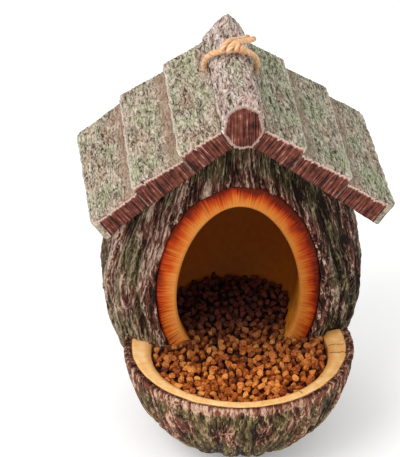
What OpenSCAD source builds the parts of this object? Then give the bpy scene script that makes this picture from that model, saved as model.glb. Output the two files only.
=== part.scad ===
// Rustic log house bird feeder: a hollow barked trunk with a round-topped doorway,
// a half bowl for the feed in front of it and a lapped board roof hung by a cord.
// Front of the feeder faces -Y, +X is to its right as seen from the front, +Z is up.

/* [Trunk] */
// Widest width of the trunk, across its belly
trunk_w = 161; // [152:1:170]
// Width of the trunk where it stands
trunk_base_w = 90; // [84:1:98]
// Width the trunk narrows to at the height of the ridge
trunk_top_w = 106; // [100:1:112]
// Height of the belly above the base
belly_z = 95; // [88:1:102]
// Reach of the bark in front of the trunk's middle
trunk_front = 51.5; // [50:0.5:54]
// Reach of the bark behind the trunk's middle
trunk_back = 53; // [48:0.5:54]
// How square the trunk is in plan, where 2 is an ellipse
trunk_square = 2.6; // [2.2:0.1:3]
// Thickness of the bark wall
bark_wall = 5; // [4:0.5:6]
// Thickness of the floor that the trunk stands on
trunk_floor = 8; // [6:0.5:10]
// Thickness of the wall that carries the cut wood ring
ring_wall = 4; // [3:0.5:5]
// Main ribs of bark round the trunk
trunk_ribs = 28; // [24:1:30]
// Depth of the furrows between the trunk's ribs
trunk_furrow = 2.4; // [1:0.1:2.8]
// Height in which a rib sways once from side to side
rib_wave = 85; // [70:5:120]

/* [Doorway] */
// Half width of the doorway
door_half_w = 37.3; // [34:0.1:39]
// Half height of the doorway
door_half_h = 56; // [52:0.5:58]
// Width of the cut wood ring round the doorway, at its sides
ring_side = 12.5; // [9:0.5:14]
// Width of the cut wood ring at its top
ring_crown = 15; // [11:0.5:16]
// Height of the middle of the doorway
door_z = 104.5; // [103:0.5:108]
// Distance of the ring's face in front of the trunk's middle
ring_face = 43; // [42:0.5:44]
// Depth of the ring, front to back
ring_depth = 5; // [4:0.5:5.5]

/* [Chamber] */
// Depth of the chamber behind the ring's face
chamber_depth = 71; // [66:1:76]
// Depth of the chamber's rounded back
chamber_round = 32; // [26:1:36]
// How much wider the chamber gets from the ring to its back, as a share
chamber_flare = 0.2; // [0.1:0.02:0.24]
// Thickness of the wood that lines the chamber
lining_wall = 4; // [3:0.5:5]

/* [Bowl] */
// Outside radius of the bowl
bowl_r = 70.5; // [68:0.5:73]
// How much of the bowl's round underside is cut off flat, for it to stand on
bowl_foot = 1; // [0.5:0.5:3]
// How far above its rim the middle of the bowl's round form lies
bowl_rise = 2.5; // [0:0.5:4]
// Distance of the bowl's middle in front of the trunk's middle
bowl_front = 47; // [45:0.5:49]
// Thickness of the bowl's bark
bowl_bark = 4; // [3:0.5:5]
// Width of the rim at the sides of the bowl
rim_side = 16.5; // [14:0.5:18]
// Width of the rim at the front of the bowl
rim_front = 10.5; // [8:0.5:13]
// Main ribs of bark that a whole bowl would have round it
bowl_ribs = 24; // [20:1:26]
// Depth of the furrows between the bowl's ribs
bowl_furrow = 2.2; // [1:0.1:2.4]

/* [Roof] */
// Pitch of the roof, in degrees
roof_pitch = 37; // [35:0.5:39]
// Height at which the undersides of the two slopes would meet
apex_z = 215.5; // [212:0.5:219]
// Length of the boards, front to back
board_len = 118; // [108:1:124]
// Distance of the boards' back ends behind the trunk's middle
roof_back = 58; // [56:1:62]
// Distance down the slope to the lower edge of the upper boards
upper_edge = 35; // [32:0.5:38]
// Distance down the slope to the lower edge of the middle boards
middle_edge = 69; // [64:0.5:72]
// Distance down the slope to the eaves, at the front
eave_edge = 103.5; // [98:0.5:106]
// How far the back ends of both eaves are shifted to the left
eave_slant = 4; // [0:0.5:5]
// How much the left eave droops below its slope
left_droop = 3.7; // [0:0.1:4]
// Thickness of a board at its upper edge
board_t = 12.5; // [11:0.5:14]
// How much thicker a board is at its lower edge, which is the lip over the next one
board_lip = 4; // [3:0.5:5]
// Overlap of each board on the next
lap = 6; // [4:0.5:8]
// Thickness of the tongue that goes under the board above
tongue_t = 6; // [5:0.5:7]
// How much thicker an eave board is at the eave
eave_lip = 3; // [1:0.5:4]

/* [Ridge log] */
// Half width of the ridge log
log_half_w = 13; // [12.5:0.1:13.4]
// Half height of the ridge log
log_half_h = 16; // [15:0.5:17]
// Height of the ridge log's middle above the line where the slopes' undersides would meet
log_rise = 9.5; // [8:0.5:11]
// How far the ridge log stands out in front of the boards
log_nose = 3; // [2:0.5:6]
// How far its peak leans to the right at its back end
log_lean = 2.4; // [0:0.1:4]

/* [Cord] */
// Diameter of the hanging cord
cord_d = 3.8; // [3.5:0.1:3.9]
// Diameter of the holes that the cord goes through
cord_hole_d = 5.4; // [5:0.1:5.8]

/* [Feed] */
// Depth of the feed below the rim, at the front of the bowl
feed_drop = 6; // [5:0.5:9]
// How much the feed climbs from the doorway to the back of the chamber
heap_h = 7; // [4:0.5:12]
// Height of the crumbs on the heap
crumb_h = 2.4; // [1.5:0.1:3]

/* [Hidden] */

// Clearance between pieces that sit against each other
seat = 0.2;
// Fineness of the round bowl
$fn = 144;
// Points round the trunk, of which every other one is a rib, rings up its bark and rings up its hollow
trunk_sides = 2 * trunk_ribs;
trunk_rings = 18;
hollow_rings = 12;
// How far the ribs sway, as a share of the distance from a rib to a furrow, and waves of sway round the trunk
rib_sway = 0.6;
sway_waves = 7;
// Least share of its full depth that a furrow has along its height
furrow_least = 0.5;
// Rings up the bowl's bark, and how many of them the furrows take to fade out at the rim
bowl_rings = 12;
furrow_fade = 3;
// How much closer together the rings lie near the ground, where 1 is even
ring_crowding = 1.5;
// How much wider the doorway and the ring's outside are below their middle than above it
door_droop = 0.1;
ring_droop = 0.02;
// Height of the middle of the ridge log
log_z = apex_z + log_rise;
// Points round the doorway and round the ridge log
door_sides = 72;
log_sides = 36;
// Shape of the ridge log's upper half, where 2 is round, less is peaked and more is square
log_back_power = 1.25;
log_middle_power = 1.8;
log_front_power = 2.3;
// Share of its size that the ridge log keeps at its nose and at its worn back end
log_nose_size = 0.88;
log_end_size = 0.96;
log_end_wear = 2;
// Sides of the cord
cord_sides = 8;
// Height that the trunk is drawn to before the roof's slopes cut it
spare_top = 2;
loft_top = apex_z + spare_top;
// How far its hollow runs out above that
overrun = 1;
// Where the back of the ring lies, and the front of the trunk's hollow behind it
ring_back = ring_face - ring_depth;
hollow_face = ring_back - ring_wall;
// Height of the middle of the bowl's round form, and of its rim, and the hollow within it
bowl_z = bowl_r - bowl_foot;
rim_z = bowl_z - bowl_rise;
hollow_r = bowl_r - rim_side;
hollow_front = bowl_front + rim_side - rim_front;
// Where the chamber ends behind the trunk's middle, and where its back starts to round
chamber_back = chamber_depth - ring_face;
round_start = chamber_back - chamber_round;
// Rings along the chamber's rounded back
round_rings = 9;
// Depth taken by the boards in front of the trunk's middle
roof_front = board_len - roof_back;

// Columns of crumbs across the feed, and rows in the bowl and in the heap
feed_columns = 22;
bowl_rows = 14;
heap_rows = 12;
// Clearance between the feed and what holds it
feed_gap = 0.5;
// Seed of the crumbs' heights
crumb_seed = 7;
// How much the feed climbs from the front of the bowl to the doorway
feed_climb = 6;
// How far short of the chamber's back the feed ends
heap_end = 1;
// How far below the feed's level its edge lies in the bowl
feed_edge_drop = 2;
// Height of the feed at the front of the bowl
feed_z = rim_z - feed_drop;
// Radius of the feed's edge in the bowl, and where it meets the trunk's bark
feed_edge_r = sqrt(pow(hollow_r - feed_gap, 2) - pow(feed_drop + feed_edge_drop, 2));
feed_back = trunk_front * trunk_depth(feed_z) + feed_gap;
// Where the feed meets the chamber's rounded back
heap_share = (door_z - feed_z - feed_climb - heap_h) / ((1 + chamber_flare) * door_half_h);
heap_back = round_start + chamber_round * sqrt(1 - pow(heap_share, 2)) - heap_end;

// Route of the cord from the left hole, over the ridge, to the right hole, with heights above
// the line where the slopes' undersides would meet
over_route = above_apex([
    [-14.8, 21.5, 2], [-14.8, 21.5, 5.5], [-15.2, 20, 9.5], [-15, 16.6, 13.9], [-13.8, 12.4, 18.3],
    [-11.6, 8.2, 22.1], [-8.4, 4.8, 25.1], [-4.8, 2.4, 27.1], [-0.8, 1, 27.9], [3.4, 0.6, 27.9],
    [7.4, 1.2, 26.7], [10.8, 2.8, 24.1], [13.6, 5.4, 20.3], [15.3, 8.8, 15.7], [15.8, 12.2, 11.3],
    [15.3, 14.8, 7.7], [14.8, 15.5, 5.1], [14.8, 15.5, 2]]);
// Route of the cord down the left hole, under the ridge log and up the right hole
under_route = above_apex([
    [-14.8, 21.5, 2], [-14.8, 21.5, -3.5], [-14.8, 21.5, -9.5], [-14.1, 21.3, -13.5],
    [-11.9, 20.8, -16.9], [-8.4, 20, -18.9], [-4.2, 19.2, -19.7], [0, 18.5, -19.9],
    [4.2, 17.8, -19.7], [8.4, 17, -18.9], [11.9, 16.2, -16.9], [14.1, 15.7, -13.5],
    [14.8, 15.5, -9.5], [14.8, 15.5, -3.5], [14.8, 15.5, 2]]);
// Route of one end of the cord through the knot, and the step from it to the other end
knot_route = above_apex([
    [-3.2, -3.6, 27.7], [-2.4, -2.6, 30.3], [-0.4, -0.4, 31.9], [2.4, 2.6, 31.9], [5.2, 6, 30.5],
    [8, 9.6, 28.9], [11.6, 13.8, 27.6], [15.4, 18, 26.7]]);
knot_step = [-3.3, 2.7, 0];
// How far the holes are set in from the cord's middle towards the ridge log
hole_inset = 0.4;

function above_apex(route) = [for (p = route) p + [0, 0, apex_z]];

// Half width of the trunk's bark at a height
function trunk_half_w(z) = z < belly_z
    ? trunk_base_w / 2 + (trunk_w - trunk_base_w) / 2 * cos(90 * (1 - z / belly_z))
    : trunk_top_w / 2 + (trunk_w - trunk_top_w) / 2
        * (1 + cos(180 * (z - belly_z) / (loft_top - belly_z))) / 2;

// Share of its full depth that the trunk has at a height
function trunk_depth(z) = sqrt(2 * trunk_half_w(z) / trunk_w);

function power(v, p) = sign(v) * pow(abs(v), p);

// Outline in plan of a barrel section at height z
function plan_ring(half_w, front, back, z) = [for (i = [0:trunk_sides - 1])
    let (a = 360 * i / trunk_sides, c = power(cos(a), 2 / trunk_square), s = power(sin(a), 2 / trunk_square))
    [half_w * c, (s < 0 ? front : back) * s, z]];

// Closed solid through a stack of rings that have the same number of points
module loft(rings) {
    n = len(rings[0]);
    last = len(rings) - 1;
    faces = concat(
        [[for (i = [0:n - 1]) i]],
        [for (k = [0:last - 1], i = [0:n - 1]) [k * n + i, (k + 1) * n + i, (k + 1) * n + (i + 1) % n]],
        [for (k = [0:last - 1], i = [0:n - 1]) [k * n + i, (k + 1) * n + (i + 1) % n, k * n + (i + 1) % n]],
        [[for (i = [n - 1:-1:0]) last * n + i]]);
    polyhedron(points = [for (r = rings) each r], faces = faces);
}

// Where a rib or furrow is in its sway at a height, out of a number of them
function sway(i, z, sides) = 360 * (z / rib_wave + sway_waves * i / sides);

// Direction in which a rib or furrow of bark lies at a height
function rib_turn(i, z, sides) = 360 / sides * (i + rib_sway * sin(sway(i, z, sides)));

// Depth of the bark at a height: none on a rib, and varying along a furrow
function furrow(i, z, sides, depth) = i % 2 == 0 ? 0
    : depth * (1 - (1 - furrow_least) * (1 + sin(2 * sway(i, z, sides))) / 2);

// Outline in plan of the trunk's bark at a height, grown outwards by a distance
function bark_ring(z, grow, depth) = let (d = trunk_depth(z)) [for (i = [0:trunk_sides - 1])
    let (a = rib_turn(i, z, trunk_sides), c = power(cos(a), 2 / trunk_square),
        s = power(sin(a), 2 / trunk_square), out = grow - furrow(i, z, trunk_sides, depth))
    [(trunk_half_w(z) + out) * c, ((s < 0 ? trunk_front : trunk_back) * d + out) * s, z]];

// The trunk's outer form, with furrows of a depth between its ribs, grown outwards by a distance
module trunk_form(grow, depth) {
    loft([for (k = [0:trunk_rings])
        let (z = loft_top * pow(k / trunk_rings, ring_crowding))
        [for (p = bark_ring(z, grow, depth)) p - [0, 0, k == 0 ? grow : 0]]]);
}

// The trunk's inner form, a wall thickness in from its bark, from a floor upwards
module hollow_form(wall, front, floor_z) {
    loft([for (k = [0:hollow_rings])
        let (z = floor_z + (loft_top + overrun - floor_z) * pow(k / hollow_rings, ring_crowding))
        plan_ring(trunk_half_w(min(z, loft_top)) - wall, front,
            trunk_back * trunk_depth(min(z, loft_top)) - wall, z)]);
}

// Egg outline, wider below its middle, grown outwards by a distance
function egg(half_w, half_h, droop, grow = 0) = [for (i = [0:door_sides - 1])
    let (a = 360 * i / door_sides)
    [(half_w + grow) * cos(a) * (1 - droop * sin(a)), (half_h + grow) * sin(a)]];

// Extrudes an outline drawn in the front view, from front_y back to back_y
module front_view(front_y, back_y) {
    translate([0, back_y, 0]) rotate([90, 0, 0]) linear_extrude(back_y - front_y) children();
}

module door_outline(grow = 0) {
    translate([0, door_z]) polygon(egg(door_half_w, door_half_h, door_droop, grow));
}

// Share of its size at the ring that the chamber has further back, before its back rounds off
function flare(y) = 1 + chamber_flare * max(y + ring_back, 0) / (chamber_back + ring_back);

// Form of the chamber from front_y backwards, grown outwards by a distance
module chamber_form(front_y, grow = 0) {
    loft([for (k = [0:round_rings + 1])
        let (a = 90 * max(1 - (k + 0.5) / (round_rings + 0.5), 0),
            y = k > round_rings ? front_y : round_start + (chamber_round + grow) * sin(a),
            outline = egg(flare(y) * door_half_w, flare(y) * door_half_h, door_droop, grow))
        [for (p = outline) [cos(a) * p[0], y, door_z + cos(a) * p[1]]]]);
}

module ring_outline(grow = 0) {
    translate([0, door_z])
        polygon(egg(door_half_w + ring_side, door_half_h + ring_crown, ring_droop, grow));
}

// Outline of the ridge log, grown outwards by a distance
module log_outline(grow = 0) {
    translate([0, log_z]) polygon([for (i = [0:log_sides - 1])
        let (a = 360 * i / log_sides) [(log_half_w + grow) * cos(a), (log_half_h + grow) * sin(a)]]);
}

// Point of the roof's section: distance down the slope, height above the undersides
function on_roof(s, h) = [s * cos(roof_pitch) + h * sin(roof_pitch),
    apex_z - s * sin(roof_pitch) + h * cos(roof_pitch)];

// Everything that lies above the undersides of the roof, for cutting walls to them
module above_roof(drop) {
    reach = 2 * eave_edge;
    peak = on_roof(0, 0) - [0, drop / cos(roof_pitch)];
    foot = on_roof(reach, 0) - [0, drop / cos(roof_pitch)];
    front_view(-2 * trunk_front, 2 * trunk_back)
        polygon([peak, foot, [reach, apex_z + reach], [-reach, apex_z + reach], [-foot[0], foot[1]]]);
    front_view(-2 * trunk_front, 2 * trunk_back) log_outline(drop);
}

// Barked outer wall of the trunk, with its floor, its doorway and the seat for the ring
module trunk() {
    color("#5c5040") difference() {
        trunk_form(0, trunk_furrow);
        hollow_form(bark_wall, hollow_face, trunk_floor);
        above_roof(seat);
        front_view(-2 * trunk_front, -ring_back + seat) ring_outline(seat);
        chamber_form(-ring_face, lining_wall + seat);
    }
}

// Wood inside the trunk: the chamber, a rounded pocket behind the doorway
module chamber_lining() {
    color("#a8803c") difference() {
        chamber_form(-ring_back + seat, lining_wall);
        chamber_form(-ring_face);
    }
}

// Ring of cut wood let into the front of the trunk, round the doorway
module doorway_ring() {
    color("#e8843a") front_view(-ring_face, -ring_back) difference() {
        ring_outline();
        door_outline();
    }
}

// Round bowl with ribs of bark that run down from its rim, where they fade out
module bowl_form() {
    high = asin(bowl_rise / bowl_r);
    low = asin(bowl_z / bowl_r);
    sides = 2 * bowl_ribs;
    loft([for (k = [0:bowl_rings])
        let (e = low + (high - low) * k / bowl_rings, level = bowl_z - bowl_r * sin(e),
            depth = bowl_furrow * min((bowl_rings - k) / furrow_fade, 1))
        [for (i = [0:sides - 1])
            let (a = rib_turn(i, level, sides), r = bowl_r - furrow(i, level, sides, depth))
            [r * cos(e) * cos(a), r * cos(e) * sin(a) - bowl_front, k == 0 ? 0 : bowl_z - r * sin(e)]]]);
}

// Barked outside of the half bowl, which sits against the ribs of the trunk's front
module bowl_shell() {
    color("#5f4a3c") difference() {
        bowl_form();
        translate([0, -bowl_front, bowl_z]) sphere(bowl_r - bowl_bark);
        trunk_form(seat, 0);
    }
}

// Pale wood inside the bowl, whose top is the wide rim
module bowl_lining() {
    color("#efc683") difference() {
        intersection() {
            translate([0, -bowl_front, bowl_z]) sphere(bowl_r - bowl_bark - seat);
            translate([-bowl_r, -bowl_front - bowl_r, 0]) cube([2 * bowl_r, 2 * bowl_r, rim_z]);
        }
        translate([0, -hollow_front, rim_z]) sphere(hollow_r);
        trunk_form(seat, 0);
    }
}

// Outline of the ridge log at a distance from the trunk's middle: round below, and
// above its middle squarer or more peaked, by its power, and leaning to the right
function log_ring(y, size, top_power, lean = 0) = [for (i = [0:log_sides - 1])
    let (a = 360 * i / log_sides, e = sin(a) > 0 ? 2 / top_power : 1)
    [size * log_half_w * power(cos(a), e) + lean * max(sin(a), 0), y,
        log_z + size * log_half_h * power(sin(a), e)]];

// Round log along the ridge, held between the upper boards, more peaked towards the back
module ridge_log() {
    nose = -roof_front - log_nose;
    color("#7d6f66") loft([log_ring(roof_back, log_end_size, log_back_power, log_lean),
        log_ring(roof_back - log_end_wear, 1, log_back_power, log_lean),
        log_ring(0, 1, log_middle_power),
        log_ring(-roof_front, 1, log_front_power),
        log_ring((nose - roof_front) / 2, log_end_size, log_front_power),
        log_ring(nose, log_nose_size, log_front_power)]);
}

// Section of one board from the slope distance top_edge to low_edge, where it is thicker by lip
// and hangs lower by droop
module board_section(top_edge, low_edge, has_tongue, has_lap, lip, droop) {
    tongue = has_tongue
        ? [on_roof(top_edge - lap, 0), on_roof(top_edge - lap, tongue_t), on_roof(top_edge, tongue_t)]
        : [on_roof(top_edge, 0)];
    notch = has_lap
        ? [on_roof(low_edge, tongue_t + seat), on_roof(low_edge - lap - seat, tongue_t + seat),
            on_roof(low_edge - lap - seat, 0)]
        : concat([on_roof(low_edge, -droop)], droop > 0 ? [on_roof((top_edge + low_edge) / 2, 0)] : []);
    face = [on_roof(top_edge + seat, board_t), on_roof(low_edge, board_t + lip - droop)];
    polygon(concat(tongue, face, notch));
}

// Board on the right slope; side -1 mirrors it to the left
module board(side, top_edge, low_edge, has_tongue, has_lap, shade, lip = board_lip, droop = 0) {
    color(shade) mirror([side < 0 ? 1 : 0, 0, 0]) front_view(-roof_front, roof_back) difference() {
        board_section(top_edge, low_edge, has_tongue, has_lap, lip, droop);
        log_outline(seat);
    }
}

// Lowest board of a slope, whose eave is cut slanting: its back end reaches further out by slant
module eave_board(side, slant, droop, shade) {
    reach = eave_edge + max(slant, 0);
    start = on_roof(eave_edge, 0);
    difference() {
        board(side, middle_edge, reach, true, false, shade, eave_lip, droop);
        mirror([side < 0 ? 1 : 0, 0, 0]) translate([start[0], -roof_front, start[1]])
            rotate([0, roof_pitch, 0]) rotate([0, 0, -atan(slant / board_len)])
            translate([0, -board_len / 2, -board_len / 2]) cube([board_len, 2 * board_len, board_len]);
    }
}

// Upper board beside the ridge log, with the round hole for the cord
module upper_board(side, shade, hole) {
    difference() {
        board(side, 0, upper_edge, false, true, shade);
        translate([hole[0] - side * hole_inset, hole[1], apex_z - 2 * log_half_h])
            cylinder(h = 4 * log_half_h, d = cord_hole_d);
    }
}

module left_upper_board() { upper_board(-1, "#8c8271", over_route[0]); }

module right_upper_board() { upper_board(1, "#6f7059", over_route[len(over_route) - 1]); }

module left_middle_board() { board(-1, upper_edge, middle_edge, true, true, "#8c8271"); }

module right_middle_board() { board(1, upper_edge, middle_edge, true, true, "#6f7059"); }

module left_eave_board() { eave_board(-1, eave_slant, left_droop, "#8c8271"); }

module right_eave_board() { eave_board(1, -eave_slant, 0, "#6f7059"); }

function unit(v) = v / norm(v);

// Direction of a route at its point k
function heading(p, k) = unit(p[min(k + 1, len(p) - 1)] - p[max(k - 1, 0)]);

// Side vector of a route at its point k, carried along without twist
function side_vector(p, k) = k == 0
    ? unit(cross(heading(p, 0), abs(heading(p, 0)[1]) < 0.9 ? [0, 1, 0] : [1, 0, 0]))
    : let (t = heading(p, k), v = side_vector(p, k - 1)) unit(v - (v * t) * t);

// Round cord of eight sides along a route
module cord(route) {
    loft([for (k = [0:len(route) - 1])
        let (u = side_vector(route, k), v = cross(u, heading(route, k)))
        [for (i = [0:cord_sides - 1])
            let (a = 360 * i / cord_sides) route[k] + cord_d / 2 * (cos(a) * u + sin(a) * v)]]);
}

// Stretch of the cord over the ridge, by which the feeder hangs
module hanging_cord() {
    color("#dcae7c") cord(over_route);
}

// Stretch of the cord down through the roof and under the ridge log
module cord_under_ridge() {
    color("#cfa070") cord(under_route);
}

// The knot: the cord's two ends laid over it side by side
module cord_knot() {
    color("#d9a673") {
        cord(knot_route);
        cord([for (p = knot_route) p + knot_step]);
    }
}

// Height of the feed at a distance from the trunk's middle: it climbs to the chamber's back
function feed_level(y) = let (
        climb = (y + hollow_front + hollow_r) / (hollow_front + hollow_r - ring_face),
        rise = (y + ring_face) / (ring_face + heap_back))
    feed_z + feed_climb * min(max(climb, 0), 1) + heap_h * min(max(rise, 0), 1);

// Share of the doorway's size that the chamber has at a distance behind the trunk's middle
function chamber_share(y) = flare(y) * sqrt(1 - pow(max(y - round_start, 0) / chamber_round, 2));

// Half width of an opening round the doorway's middle at a height, by its half sizes and droop
function opening_half_w(z, half_w, half_h, droop) = let (low = (door_z - z) / half_h)
    half_w * sqrt(1 - low * low) * (1 + droop * low);

// Height of such an opening's lower side at a distance from its middle, below a height
function opening_bottom(x, z, half_w, half_h, droop) = let (low = (door_z - z) / half_h)
    door_z - half_h * sqrt(1 - pow(x / (half_w * (1 + droop * low)), 2));

// Half sizes and droop of the opening that the feed fills, by the place that it lies in
function feed_opening(place, y) = place == "recess"
    ? [door_half_w + ring_side, door_half_h + ring_crown, ring_droop]
    : [chamber_share(y) * door_half_w, chamber_share(y) * door_half_h, door_droop];

// Half width of the feed at a distance from the trunk's middle, by the place that it lies in
function feed_half_w(place, y) = place == "bowl"
    ? sqrt(pow(feed_edge_r, 2) - pow(y + hollow_front, 2))
    : let (o = feed_opening(place, y)) opening_half_w(feed_level(y), o[0], o[1], o[2]) - feed_gap;

// Height of the underside of the feed, by the place that it lies in
function feed_bottom(place, x, y) = place == "bowl"
    ? rim_z - sqrt(pow(hollow_r - feed_gap, 2) - pow(y + hollow_front, 2) - x * x)
    : let (o = feed_opening(place, y)) opening_bottom(x, feed_level(y), o[0], o[1], o[2]) + feed_gap;

// Crumbly feed that fills the bowl and the doorway and lies heaped in the chamber
module feed() {
    rows = concat(
        [for (k = [2:bowl_rows]) ["bowl", -hollow_front - feed_edge_r * cos(90 * k / (bowl_rows + 1))]],
        [["bowl", -feed_back], ["recess", -feed_back + seat], ["recess", -ring_face - feed_gap]],
        [for (k = [0:heap_rows]) ["chamber", -ring_face + k * (heap_back + ring_face) / heap_rows]]);
    n = feed_columns + 1;
    bumps = rands(0, crumb_h, len(rows) * n, crumb_seed);
    places = [for (row = rows, i = [0:feed_columns])
        [row[0], feed_half_w(row[0], row[1]) * (2 * i / feed_columns - 1), row[1]]];
    top = [for (i = [0:len(places) - 1]) let (p = places[i]) [p[1], p[2], feed_level(p[2]) + bumps[i]]];
    under = [for (p = places) [p[1], p[2], feed_bottom(p[0], p[1], p[2])]];
    m = len(top);
    last_row = (len(rows) - 1) * n;
    faces = concat(
        [for (k = [0:len(rows) - 2], i = [0:feed_columns - 1]) let (p = k * n + i)
            each [[p, p + n, p + 1], [p + 1, p + n, p + n + 1],
                [m + p, m + p + 1, m + p + n], [m + p + 1, m + p + n + 1, m + p + n]]],
        [for (k = [0:len(rows) - 2]) let (p = k * n, q = k * n + feed_columns)
            each [[p, m + p, p + n], [p + n, m + p, m + p + n],
                [q, q + n, m + q], [q + n, m + q + n, m + q]]],
        [for (i = [0:feed_columns - 1]) each [[i, i + 1, m + i], [i + 1, m + i + 1, m + i]]],
        [for (i = [0:feed_columns - 1]) let (p = last_row + i)
            each [[p, m + p, p + 1], [p + 1, m + p, m + p + 1]]]);
    color("#9c5a22") polyhedron(points = concat(top, under), faces = faces);
}

trunk();
chamber_lining();
doorway_ring();
bowl_shell();
bowl_lining();
ridge_log();
left_upper_board();
left_middle_board();
left_eave_board();
right_upper_board();
right_middle_board();
right_eave_board();
hanging_cord();
cord_under_ridge();
cord_knot();
feed();
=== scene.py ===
import bmesh
import bpy
import numpy as np
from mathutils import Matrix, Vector
from numpy import cos, hypot, pi, sin, sqrt


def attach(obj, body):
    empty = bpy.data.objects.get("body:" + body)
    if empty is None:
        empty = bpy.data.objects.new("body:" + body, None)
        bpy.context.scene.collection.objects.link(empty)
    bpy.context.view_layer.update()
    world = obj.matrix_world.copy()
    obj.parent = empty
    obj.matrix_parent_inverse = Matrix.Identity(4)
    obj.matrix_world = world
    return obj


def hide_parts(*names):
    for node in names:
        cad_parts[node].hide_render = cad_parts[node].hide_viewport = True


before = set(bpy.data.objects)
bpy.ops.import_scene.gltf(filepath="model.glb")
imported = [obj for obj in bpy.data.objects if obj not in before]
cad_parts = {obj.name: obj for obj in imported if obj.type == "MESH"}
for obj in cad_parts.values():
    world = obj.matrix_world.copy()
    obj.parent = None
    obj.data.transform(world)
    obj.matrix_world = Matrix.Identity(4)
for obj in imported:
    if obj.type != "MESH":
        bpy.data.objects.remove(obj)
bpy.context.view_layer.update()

# The camera stands where the photograph was taken from: a little to the left of the
# feeder's middle and well above it, far away with a long lens.
CAMERA_PLACE, CAMERA_AHEAD = (-0.1344, -1.29871, 0.88756), (0.07596, 0.85916, -0.50604)


def add_object(name, data):
    made = bpy.data.objects.new(name, data)
    bpy.context.collection.objects.link(made)
    return made


camera = add_object("camera", bpy.data.cameras.new("camera"))
bpy.context.scene.camera = camera
camera.location = CAMERA_PLACE
camera.rotation_euler = Vector(CAMERA_AHEAD).to_track_quat("-Z", "Y").to_euler()
camera.data.lens = 193.7
camera.data.clip_start = 0.1
camera.data.clip_end = 20
bpy.context.scene.view_settings.view_transform = "Standard"

# The hanging cord is soft jute twine of three strands. It comes up out of a hole at the left
# of the ridge log, lies over the log and goes down into the hole at the right.
# It runs on under the log, out of sight, and its ends are tied on the crest.
OVER_ROUTE = np.array([
    (-14.8, 21.5, 217.5), (-14.8, 21.5, 221), (-15.2, 20, 225), (-15, 16.6, 229.4), (-13.8, 12.4, 233.8),
    (-11.6, 8.2, 237.6), (-8.4, 4.8, 240.6), (-4.8, 2.4, 242.6), (-0.8, 1, 243.4), (3.4, 0.6, 243.4),
    (7.4, 1.2, 242.2), (10.8, 2.8, 239.6), (13.6, 5.4, 235.8), (15.3, 8.8, 231.2), (15.8, 12.2, 226.8),
    (15.3, 14.8, 223.2), (14.8, 15.5, 220.6), (14.8, 15.5, 217.5)]) / 1000
UNDER_ROUTE = np.array([
    (-14.8, 21.5, 217.5), (-14.8, 21.5, 212), (-14.8, 21.5, 206), (-14.1, 21.3, 202), (-11.9, 20.8, 198.6),
    (-8.4, 20, 196.6), (-4.2, 19.2, 195.8), (0, 18.5, 195.6), (4.2, 17.8, 195.8), (8.4, 17, 196.6),
    (11.9, 16.2, 198.6), (14.1, 15.7, 202), (14.8, 15.5, 206), (14.8, 15.5, 212),
    (14.8, 15.5, 217.5)]) / 1000
TAIL_ROUTE = np.array([
    (-3.2, -3.6, 243.2), (-2.4, -2.6, 245.8), (-0.4, -0.4, 247.4), (2.4, 2.6, 247.4),
    (5.2, 6, 246), (8, 9.6, 244.4), (11.6, 13.8, 243.1), (15.4, 18, 242.2)]) / 1000
TAIL_STEP = np.array((-3.3, 2.7, 0)) / 1000
WRAP_MIDDLE, WRAP_HALF = np.array(((3.6, 1.8, 244.7), (1.8, 3.4, 2.3))) / 1000
CORD_RADIUS, TAIL_RADIUS, WRAP_RADIUS = 0.0019, 0.0018, 0.0017
TWINE_LAY, TWINE_GROOVE, TWINE_AROUND, PATH_STEPS = 0.0125, 0.22, 30, 9


def spots(*axes):
    """Points whose coordinates are the given numbers or arrays."""
    return np.stack(np.broadcast_arrays(*axes), -1)


def on_circle(turn, radius, along):
    """Points round a circle, each with its place along the circle's axis."""
    return spots(radius * cos(turn), radius * sin(turn), along)


def full_turn(count):
    """Turns at even steps once round a circle."""
    return np.linspace(0, 2 * pi, count, endpoint=False)


def unit(vectors):
    """The vectors, each brought to a length of 1."""
    return vectors / np.linalg.norm(vectors, axis=-1, keepdims=True)


def clamp(value):
    return np.clip(value, 0, 1)


def add_piece(name, points, faces, paints, slot, node_name, smooth=True, **marks):
    """Makes a mesh piece that rides on the body, with numbers or vectors marked on its points."""
    mesh = bpy.data.meshes.new(name)
    mesh.from_pydata(np.reshape(points, (-1, 3)).tolist(), [], [list(f) for f in faces])
    mesh.validate()
    mesh.polygons.foreach_set("use_smooth", [smooth] * len(mesh.polygons))
    for mark, values in marks.items():
        is_vector = np.size(values) == 3 * len(mesh.vertices)
        kind, field = ("FLOAT_VECTOR", "vector") if is_vector else ("FLOAT", "value")
        made = mesh.attributes.new(mark, kind, "POINT")
        made.data.foreach_set(field, np.ravel(values).astype(np.float32))
    for material in paints:
        mesh.materials.append(material)
    piece = add_object(name, mesh)
    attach(piece, "root")
    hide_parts(node_name)
    return piece


def sheet_faces(rows, columns, start=0, closed=False, flipped=False):
    """Faces of a sheet of points, row after row. A closed sheet's last column meets its first."""
    lines = columns if closed else columns - 1
    row, column = np.meshgrid(np.arange(rows - 1), np.arange(lines), indexing="ij")
    beside = (column + 1) % columns
    corners = [row * columns + column, row * columns + beside,
               (row + 1) * columns + beside, (row + 1) * columns + column]
    faces = np.stack(corners[::-1] if flipped else corners, -1)
    return (faces.reshape(-1, 4) + start).tolist()


def smooth_path(points):
    """Rounded path through the points, with the same number of steps from each to the next."""
    ends = np.vstack([2 * points[0] - points[1], points, 2 * points[-1] - points[-2]])
    t = np.linspace(0, 1, PATH_STEPS, endpoint=False)[:, None]
    runs = []
    for a, b, c, d in zip(ends, ends[1:], ends[2:], ends[3:]):
        bend = (2 * a - 5 * b + 4 * c - d) * t**2 / 2 + (3 * b - a - 3 * c + d) * t**3 / 2
        runs.append(b + (c - a) * t / 2 + bend)
    return np.vstack(runs + [points[-1:]])


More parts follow.
